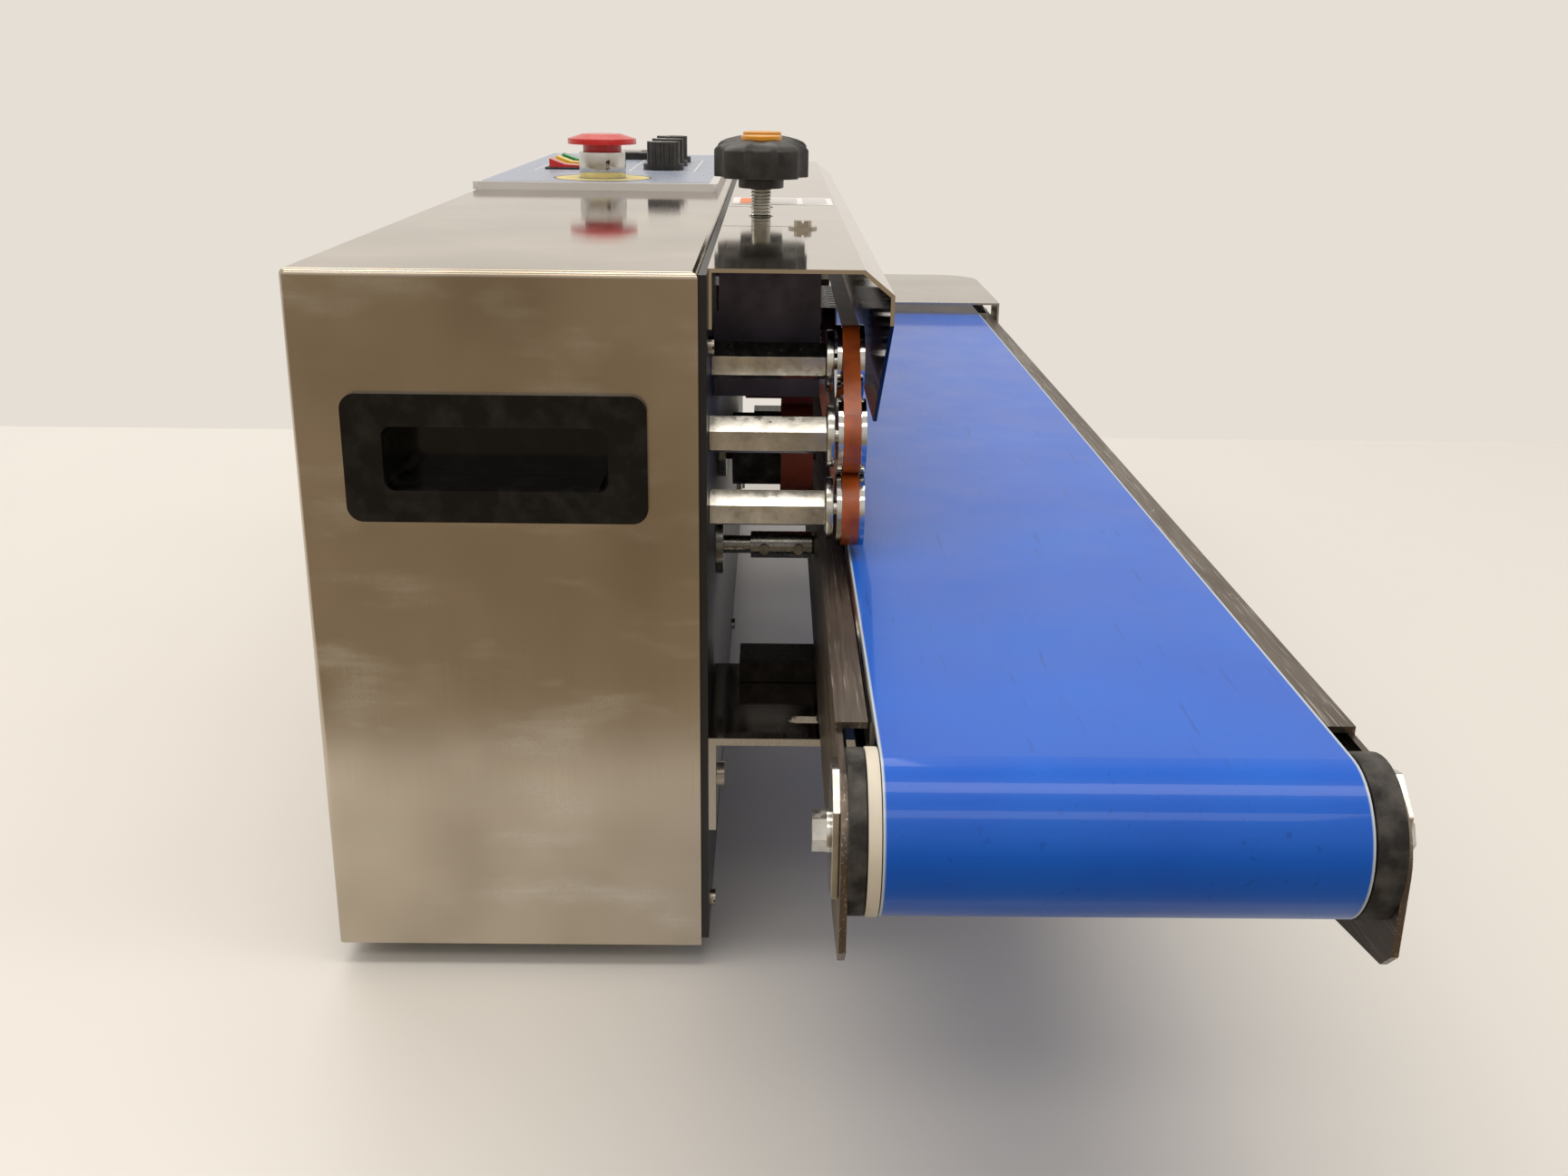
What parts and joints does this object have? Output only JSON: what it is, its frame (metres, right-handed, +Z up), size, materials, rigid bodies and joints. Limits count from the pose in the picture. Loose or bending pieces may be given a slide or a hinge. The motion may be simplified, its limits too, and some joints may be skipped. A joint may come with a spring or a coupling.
{
  "type": "continuous band sealer",
  "caption": "Tabletop continuous band sealer: steel casing, guarded sealing bands on pulleys, press knobs, switches and a side belt conveyor.",
  "frame": {"origin": "on the table, in the middle of the whole machine", "axes": "+X along the machine from the bag outfeed to the infeed, +Y from the conveyor to the back of the casing, +Z up"},
  "size_m": [0.9934, 0.3552, 0.32],
  "materials": {
    "brushed_stainless": "brushed, mirror-bright on the top",
    "black_powder_coat": "satin",
    "dark_steel_floor": "satin",
    "black_gloss_plastic": "gloss",
    "black_matte_plastic": "fine texture",
    "grey_panel": "satin film on grey plate",
    "red_plastic": "gloss",
    "yellow_plastic": "gloss",
    "green_plastic": "gloss",
    "chrome": "polished",
    "polished_stainless": "polished",
    "zinc_steel": "bright zinc",
    "bronze": "turned",
    "black_rubber": "matt",
    "grey_painted_steel": "satin",
    "circuit_green": "board and transformer",
    "brown_band": "woven glass coated with PTFE",
    "aluminium": "milled",
    "red_rubber": "matt",
    "rail_steel": "worn brushed",
    "blue_belt": "glossy, fine weave",
    "cream_nylon": "satin"
  },
  "bodies": {
    "casing": {"base_plate": "dark_steel_floor", "casing_cover": "brushed_stainless", "front_panel": "black_powder_coat", "flush_handles": "black_gloss_plastic", "control_plate": "grey_panel", "estop_collar": "chrome", "switch_bezels": "black_gloss_plastic", "temperature_controller": "black_gloss_plastic", "guard": "polished_stainless", "casing_screws": "zinc_steel", "rubber_feet": "black_rubber", "power_inlet": "black_gloss_plastic", "gear_motor": "grey_painted_steel", "power_board": "circuit_green", "hex_posts": "zinc_steel", "bulkhead": "grey_painted_steel", "shaft_bearings": "bronze", "upper_band": "brown_band", "lower_band": "brown_band", "heating_blocks": "aluminium", "cooling_blocks": "aluminium", "drive_chain": "zinc_steel", "support_brackets": "zinc_steel"},
    "estop_plunger": {"estop_plunger": "red_plastic"},
    "estop_head": {"estop_head": "red_plastic"},
    "rocker_red": {"rocker_red": "red_plastic"},
    "rocker_yellow": {"rocker_yellow": "yellow_plastic"},
    "rocker_green": {"rocker_green": "green_plastic"},
    "speed_dial": {"speed_dial": "black_matte_plastic"},
    "print_heat_dial": {"print_heat_dial": "black_matte_plastic"},
    "print_spacing_dial": {"print_spacing_dial": "black_matte_plastic"},
    "upper_nip_pulley": {"upper_nip_pulley": "chrome"},
    "lower_nip_pulley": {"lower_nip_pulley": "chrome"},
    "upper_return_pulley": {"upper_return_pulley": "chrome"},
    "upper_far_pulley": {"upper_far_pulley": "chrome"},
    "lower_drive": {"lower_drive_wheel": "chrome"},
    "upper_drive": {"upper_drive_wheel": "chrome"},
    "print_roller": {"print_wheel": "red_rubber", "print_drum": "black_rubber"},
    "conveyor_shaft": {"conveyor_drive_shaft": "zinc_steel"},
    "left_press": {"press_yoke_left": "zinc_steel"},
    "left_press_wheel": {"press_wheel_left": "black_rubber"},
    "left_knob": {"press_knob_left": "black_matte_plastic"},
    "right_press": {"press_yoke_right": "zinc_steel"},
    "right_press_wheel": {"press_wheel_right": "aluminium"},
    "right_knob": {"press_knob_right": "black_matte_plastic"},
    "conveyor": {"left_rail": "rail_steel", "right_rail": "rail_steel", "slider_bed": "aluminium", "conveyor_belt": "blue_belt", "guide_discs": "black_rubber", "tension_plates": "zinc_steel", "axle_bolts": "zinc_steel", "end_plate": "polished_stainless", "conveyor_bars": "black_powder_coat"},
    "near_roller": {"near_roller": "zinc_steel", "near_roller_cap": "cream_nylon"},
    "far_roller": {"far_roller": "zinc_steel"},
    "drive_roller": {"drive_roller": "zinc_steel", "drive_coupling": "zinc_steel"}
  },
  "joints": [
    {"name": "band_drive", "type": "hinge", "parent": "casing", "child": "lower_drive", "pos_m": [0.2967, -0.0291, 0.1907], "axis": [0, -1, 0], "continuous": true},
    {"name": "upper_band_drive", "type": "hinge", "parent": "casing", "child": "upper_drive", "pos_m": [0.2967, -0.0291, 0.2193], "axis": [0, -1, 0], "continuous": true},
    {"name": "upper_nip_spin", "type": "hinge", "parent": "casing", "child": "upper_nip_pulley", "pos_m": [-0.2883, -0.0291, 0.2193], "axis": [0, -1, 0], "continuous": true},
    {"name": "lower_nip_spin", "type": "hinge", "parent": "casing", "child": "lower_nip_pulley", "pos_m": [-0.2883, -0.0291, 0.1907], "axis": [0, -1, 0], "continuous": true},
    {"name": "upper_return_spin", "type": "hinge", "parent": "casing", "child": "upper_return_pulley", "pos_m": [-0.2633, -0.0291, 0.243], "axis": [0, -1, 0], "continuous": true},
    {"name": "upper_far_spin", "type": "hinge", "parent": "casing", "child": "upper_far_pulley", "pos_m": [0.2717, -0.0291, 0.243], "axis": [0, -1, 0], "continuous": true},
    {"name": "print_roller_spin", "type": "hinge", "parent": "casing", "child": "print_roller", "pos_m": [-0.1633, -0.0179, 0.18385], "axis": [0, -1, 0], "continuous": true},
    {"name": "left_press_wheel_spin", "type": "hinge", "parent": "left_press", "child": "left_press_wheel", "pos_m": [-0.1633, -0.0179, 0.22015], "axis": [0, -1, 0], "continuous": true},
    {"name": "right_press_wheel_spin", "type": "hinge", "parent": "right_press", "child": "right_press_wheel", "pos_m": [-0.0363, -0.0291, 0.2183], "axis": [0, -1, 0], "continuous": true},
    {"name": "conveyor_shaft_spin", "type": "hinge", "parent": "casing", "child": "conveyor_shaft", "pos_m": [-0.2043, 0.0576, 0.15], "axis": [0, -1, 0], "continuous": true},
    {"name": "drive_roller_spin", "type": "hinge", "parent": "conveyor", "child": "drive_roller", "pos_m": [-0.2043, -0.0944, 0.15], "axis": [0, -1, 0], "continuous": true},
    {"name": "near_roller_spin", "type": "hinge", "parent": "conveyor", "child": "near_roller", "pos_m": [-0.4733, -0.0944, 0.15], "axis": [0, -1, 0], "continuous": true},
    {"name": "far_roller_spin", "type": "hinge", "parent": "conveyor", "child": "far_roller", "pos_m": [0.3817, -0.0944, 0.15], "axis": [0, -1, 0], "continuous": true},
    {"name": "left_press_lift", "type": "slide", "parent": "casing", "child": "left_press", "axis": [0, 0, 1], "range_m": [0, 0.003]},
    {"name": "left_knob_turn", "type": "hinge", "parent": "left_press", "child": "left_knob", "pos_m": [-0.0863, 0.0071, 0.2965], "axis": [0, 0, 1], "range_deg": [0, 720]},
    {"name": "right_press_lift", "type": "slide", "parent": "casing", "child": "right_press", "axis": [0, 0, 1], "range_m": [0, 0.003]},
    {"name": "right_knob_turn", "type": "hinge", "parent": "right_press", "child": "right_knob", "pos_m": [-0.0363, 0.0071, 0.2965], "axis": [0, 0, 1], "range_deg": [0, 720]},
    {"name": "conveyor_slide", "type": "slide", "parent": "casing", "child": "conveyor", "axis": [0, -1, 0], "range_m": [0, 0.02]},
    {"name": "estop_push", "type": "slide", "parent": "casing", "child": "estop_plunger", "axis": [0, 0, -1], "range_m": [0, 0.004], "stiffness_N_per_m": 600},
    {"name": "estop_twist", "type": "hinge", "parent": "estop_plunger", "child": "estop_head", "pos_m": [0.1037, 0.1046, 0.302], "axis": [0, 0, -1], "range_deg": [0, 30], "stiffness_Nm_per_rad": 0.05},
    {"name": "red_switch", "type": "hinge", "parent": "casing", "child": "rocker_red", "pos_m": [0.1867, 0.1376, 0.2885], "axis": [-1, 0, 0], "range_deg": [0, 20]},
    {"name": "yellow_switch", "type": "hinge", "parent": "casing", "child": "rocker_yellow", "pos_m": [0.2187, 0.1376, 0.2885], "axis": [-1, 0, 0], "range_deg": [0, 20]},
    {"name": "green_switch", "type": "hinge", "parent": "casing", "child": "rocker_green", "pos_m": [0.2507, 0.1376, 0.2885], "axis": [-1, 0, 0], "range_deg": [0, 20]},
    {"name": "speed_dial_turn", "type": "hinge", "parent": "casing", "child": "speed_dial", "pos_m": [0.1897, 0.0736, 0.2865], "axis": [0, 0, -1], "range_deg": [0, 300]},
    {"name": "print_heat_dial_turn", "type": "hinge", "parent": "casing", "child": "print_heat_dial", "pos_m": [0.2347, 0.0736, 0.2865], "axis": [0, 0, -1], "range_deg": [0, 300]},
    {"name": "print_spacing_dial_turn", "type": "hinge", "parent": "casing", "child": "print_spacing_dial", "pos_m": [0.2797, 0.0736, 0.2865], "axis": [0, 0, -1], "range_deg": [0, 300]}
  ],
  "couplings": [
    {"joint": "upper_band_drive", "follows": "band_drive", "ratio": -1},
    {"joint": "upper_nip_spin", "follows": "band_drive", "ratio": -1},
    {"joint": "lower_nip_spin", "follows": "band_drive", "ratio": 1},
    {"joint": "upper_return_spin", "follows": "band_drive", "ratio": -1},
    {"joint": "upper_far_spin", "follows": "band_drive", "ratio": -1},
    {"joint": "print_roller_spin", "follows": "band_drive", "ratio": 0.67143},
    {"joint": "left_press_wheel_spin", "follows": "band_drive", "ratio": -0.94},
    {"joint": "right_press_wheel_spin", "follows": "band_drive", "ratio": -1.175},
    {"joint": "conveyor_shaft_spin", "follows": "band_drive", "ratio": 0.62844},
    {"joint": "drive_roller_spin", "follows": "band_drive", "ratio": 0.62844},
    {"joint": "near_roller_spin", "follows": "band_drive", "ratio": 0.62844},
    {"joint": "far_roller_spin", "follows": "band_drive", "ratio": 0.62844},
    {"joint": "left_knob_turn", "follows": "left_press_lift", "rad_per_m": 4188.8},
    {"joint": "right_knob_turn", "follows": "right_press_lift", "rad_per_m": 4188.8}
  ]
}
